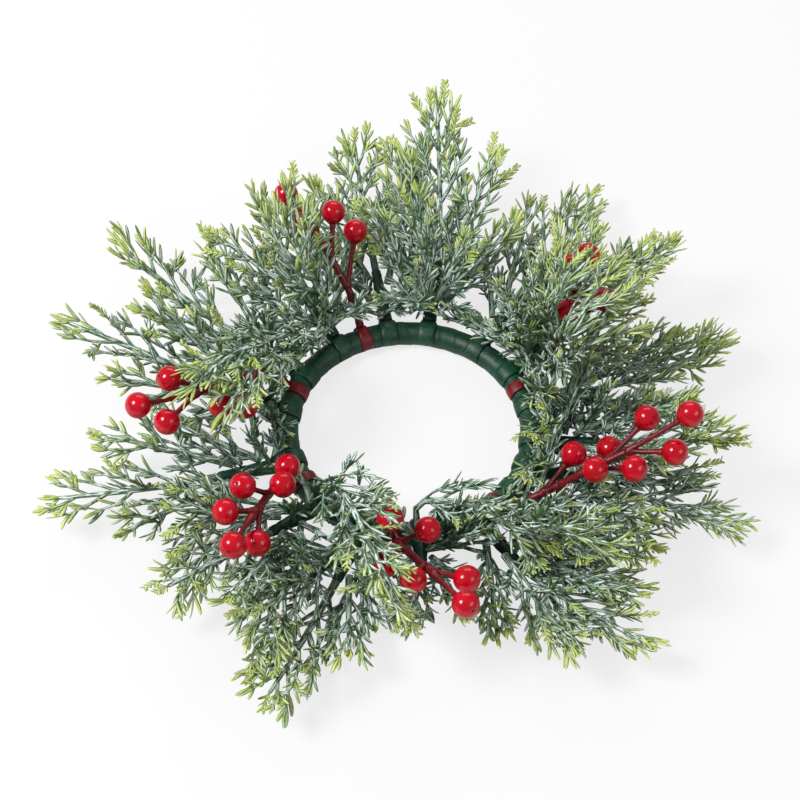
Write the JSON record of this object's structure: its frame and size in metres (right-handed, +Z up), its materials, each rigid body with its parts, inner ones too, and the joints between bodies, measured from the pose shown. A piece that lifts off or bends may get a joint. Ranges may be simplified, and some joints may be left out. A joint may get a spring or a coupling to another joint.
{
  "type": "candle ring",
  "caption": "Candle ring of flat artificial cedar sprays and red berry picks on a taped wire hoop, laid round the foot of a jar or pillar candle.",
  "frame": {"origin": "centre of the ring, on the table that it lies on", "axes": "+Z up out of the table along the axis of the candle opening, -Y towards the front of the picture, +X to its right"},
  "size_m": [0.2811, 0.292, 0.0722],
  "materials": {
    "hoop_wire": "satin",
    "green_tape": "matte",
    "cedar_foliage": "satin",
    "red_tape": "matte",
    "berry_skin": "gloss"
  },
  "bodies": {
    "ring": {"ring_frame_wire": "hoop_wire", "ring_tape_wrap": "green_tape"},
    "cedar_pick_01": {"cedar_pick_01_stem": "green_tape", "cedar_pick_01_sprays": "cedar_foliage"},
    "cedar_pick_02": {"cedar_pick_02_stem": "green_tape", "cedar_pick_02_sprays": "cedar_foliage"},
    "cedar_pick_03": {"cedar_pick_03_stem": "green_tape", "cedar_pick_03_sprays": "cedar_foliage"},
    "cedar_pick_04": {"cedar_pick_04_stem": "green_tape", "cedar_pick_04_sprays": "cedar_foliage"},
    "cedar_pick_05": {"cedar_pick_05_stem": "green_tape", "cedar_pick_05_sprays": "cedar_foliage"},
    "cedar_pick_06": {"cedar_pick_06_stem": "green_tape", "cedar_pick_06_sprays": "cedar_foliage"},
    "cedar_pick_07": {"cedar_pick_07_stem": "green_tape", "cedar_pick_07_sprays": "cedar_foliage"},
    "cedar_pick_08": {"cedar_pick_08_stem": "green_tape", "cedar_pick_08_sprays": "cedar_foliage"},
    "cedar_pick_09": {"cedar_pick_09_stem": "green_tape", "cedar_pick_09_sprays": "cedar_foliage"},
    "cedar_pick_10": {"cedar_pick_10_stem": "green_tape", "cedar_pick_10_sprays": "cedar_foliage"},
    "cedar_pick_11": {"cedar_pick_11_stem": "green_tape", "cedar_pick_11_sprays": "cedar_foliage"},
    "cedar_pick_12": {"cedar_pick_12_stem": "green_tape", "cedar_pick_12_sprays": "cedar_foliage"},
    "cedar_pick_13": {"cedar_pick_13_stem": "green_tape", "cedar_pick_13_sprays": "cedar_foliage"},
    "cedar_pick_14": {"cedar_pick_14_stem": "green_tape", "cedar_pick_14_sprays": "cedar_foliage"},
    "cedar_pick_15": {"cedar_pick_15_stem": "green_tape", "cedar_pick_15_sprays": "cedar_foliage"},
    "cedar_pick_16": {"cedar_pick_16_stem": "green_tape", "cedar_pick_16_sprays": "cedar_foliage"},
    "berry_pick_1": {"berry_pick_1_stem": "red_tape", "berry_pick_1_berries": "berry_skin"},
    "berry_pick_2": {"berry_pick_2_stem": "red_tape", "berry_pick_2_berries": "berry_skin"},
    "berry_pick_3": {"berry_pick_3_stem": "red_tape", "berry_pick_3_berries": "berry_skin"},
    "berry_pick_4": {"berry_pick_4_stem": "red_tape", "berry_pick_4_berries": "berry_skin"},
    "berry_pick_5": {"berry_pick_5_stem": "red_tape", "berry_pick_5_berries": "berry_skin"},
    "berry_pick_6": {"berry_pick_6_stem": "red_tape", "berry_pick_6_berries": "berry_skin"}
  },
  "joints": [
    {"name": "cedar_pick_01_bend", "type": "hinge", "parent": "ring", "child": "cedar_pick_01", "pos_m": [0.04924, 0.00868, 0.0045], "axis": [0.1736, -0.9848, 0], "range_deg": [-2, 2]},
    {"name": "cedar_pick_02_bend", "type": "hinge", "parent": "ring", "child": "cedar_pick_02", "pos_m": [0.04286, 0.02575, 0.0045], "axis": [0.515, -0.8572, 0], "range_deg": [-6, 8]},
    {"name": "cedar_pick_03_bend", "type": "hinge", "parent": "ring", "child": "cedar_pick_03", "pos_m": [0.03078, 0.0394, 0.0045], "axis": [0.788, -0.6157, 0], "range_deg": [-3, 4]},
    {"name": "cedar_pick_04_bend", "type": "hinge", "parent": "ring", "child": "cedar_pick_04", "pos_m": [0.0104, 0.04891, 0.0045], "axis": [0.9781, -0.2079, 0], "range_deg": [-6, 4]},
    {"name": "cedar_pick_05_bend", "type": "hinge", "parent": "ring", "child": "cedar_pick_05", "pos_m": [-0.00609, 0.04963, 0.0045], "axis": [0.9925, 0.1219, 0], "range_deg": [-3, 5]},
    {"name": "cedar_pick_06_bend", "type": "hinge", "parent": "ring", "child": "cedar_pick_06", "pos_m": [-0.0265, 0.0424, 0.0045], "axis": [0.848, 0.5299, 0], "range_deg": [-5, 7]},
    {"name": "cedar_pick_07_bend", "type": "hinge", "parent": "ring", "child": "cedar_pick_07", "pos_m": [-0.04145, 0.02796, 0.0045], "axis": [0.5592, 0.829, 0], "range_deg": [-3, 4]},
    {"name": "cedar_pick_08_bend", "type": "hinge", "parent": "ring", "child": "cedar_pick_08", "pos_m": [-0.04908, 0.00954, 0.0045], "axis": [0.1908, 0.9816, 0], "range_deg": [-5, 8]},
    {"name": "cedar_pick_09_bend", "type": "hinge", "parent": "ring", "child": "cedar_pick_09", "pos_m": [-0.04782, -0.01462, 0.0045], "axis": [-0.2924, 0.9563, 0], "range_deg": [-3, 4]},
    {"name": "cedar_pick_10_bend", "type": "hinge", "parent": "ring", "child": "cedar_pick_10", "pos_m": [-0.03597, -0.03473, 0.0045], "axis": [-0.6947, 0.7193, 0], "range_deg": [-3, 3]},
    {"name": "cedar_pick_11_bend", "type": "hinge", "parent": "ring", "child": "cedar_pick_11", "pos_m": [-0.02034, -0.04568, 0.0045], "axis": [-0.9135, 0.4067, 0], "range_deg": [-3, 3]},
    {"name": "cedar_pick_12_bend", "type": "hinge", "parent": "ring", "child": "cedar_pick_12", "pos_m": [0.00087, -0.04999, 0.0045], "axis": [-0.9998, -0.0175, 0], "range_deg": [-6, 4]},
    {"name": "cedar_pick_13_bend", "type": "hinge", "parent": "ring", "child": "cedar_pick_13", "pos_m": [0.02424, -0.04373, 0.0045], "axis": [-0.8746, -0.4848, 0], "range_deg": [-3, 2]},
    {"name": "cedar_pick_14_bend", "type": "hinge", "parent": "ring", "child": "cedar_pick_14", "pos_m": [0.0383, -0.03214, 0.0045], "axis": [-0.6428, -0.766, 0], "range_deg": [-3, 3]},
    {"name": "cedar_pick_15_bend", "type": "hinge", "parent": "ring", "child": "cedar_pick_15", "pos_m": [0.04568, -0.02034, 0.0045], "axis": [-0.4067, -0.9135, 0], "range_deg": [-2, 2]},
    {"name": "cedar_pick_16_bend", "type": "hinge", "parent": "ring", "child": "cedar_pick_16", "pos_m": [0.04924, -0.00868, 0.0045], "axis": [-0.1736, -0.9848, 0], "range_deg": [-3, 3]},
    {"name": "berry_pick_1_bend", "type": "hinge", "parent": "ring", "child": "berry_pick_1", "pos_m": [-0.04603, 0.01954, 0.0045], "axis": [0.3907, 0.9205, 0], "range_deg": [-3, 22]},
    {"name": "berry_pick_2_bend", "type": "hinge", "parent": "ring", "child": "berry_pick_2", "pos_m": [-0.0433, -0.025, 0.0045], "axis": [-0.5, 0.866, 0], "range_deg": [-3, 22]},
    {"name": "berry_pick_3_bend", "type": "hinge", "parent": "ring", "child": "berry_pick_3", "pos_m": [-0.00868, -0.04924, 0.0045], "axis": [-0.9848, 0.1736, 0], "range_deg": [-3, 22]},
    {"name": "berry_pick_4_bend", "type": "hinge", "parent": "ring", "child": "berry_pick_4", "pos_m": [0.03147, -0.03886, 0.0045], "axis": [-0.7771, -0.6293, 0], "range_deg": [-3, 22]},
    {"name": "berry_pick_5_bend", "type": "hinge", "parent": "ring", "child": "berry_pick_5", "pos_m": [0.04683, 0.01751, 0.0045], "axis": [0.3502, -0.9367, 0], "range_deg": [-3, 22]},
    {"name": "berry_pick_6_bend", "type": "hinge", "parent": "ring", "child": "berry_pick_6", "pos_m": [-0.01669, 0.04713, 0.0045], "axis": [0.9426, 0.3338, 0], "range_deg": [-3, 22]}
  ]
}
